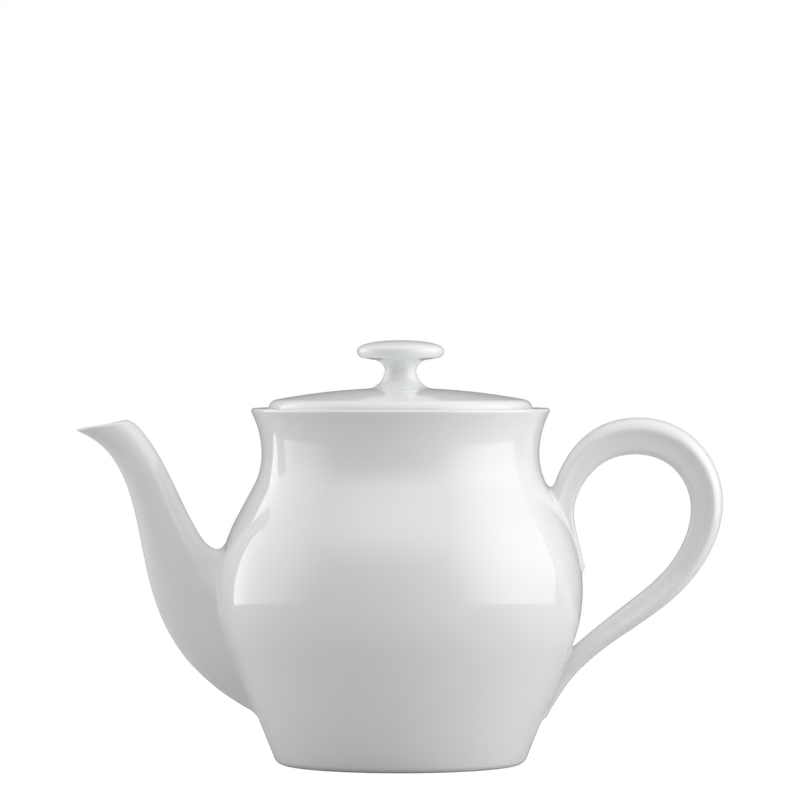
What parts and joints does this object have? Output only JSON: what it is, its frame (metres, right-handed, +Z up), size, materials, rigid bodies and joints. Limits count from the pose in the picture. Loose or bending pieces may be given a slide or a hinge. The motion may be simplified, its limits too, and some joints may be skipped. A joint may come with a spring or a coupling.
{
  "type": "teapot",
  "caption": "White glazed porcelain teapot with a waisted neck, S-shaped spout, ear-shaped handle and a loose domed lid that lies inside the rim and lifts by a spool knob.",
  "frame": {"origin": "centre of the foot ring, on the surface that the pot stands on", "axes": "+Z up along the pot's axis, +X towards the handle, -X towards the spout"},
  "size_m": [0.2321, 0.1312, 0.1524],
  "materials": {
    "porcelain": "white porcelain under a clear glossy glaze"
  },
  "bodies": {
    "pot": {"pot_body": "porcelain", "spout": "porcelain", "handle": "porcelain"},
    "lid": {"lid_cover": "porcelain", "lid_flange": "porcelain", "lid_tongue": "porcelain", "lid_knob": "porcelain"}
  },
  "joints": [
    {"name": "lid_lift", "type": "slide", "parent": "pot", "child": "lid", "axis": [0, 0, 1], "range_m": [0, 0.06]}
  ]
}
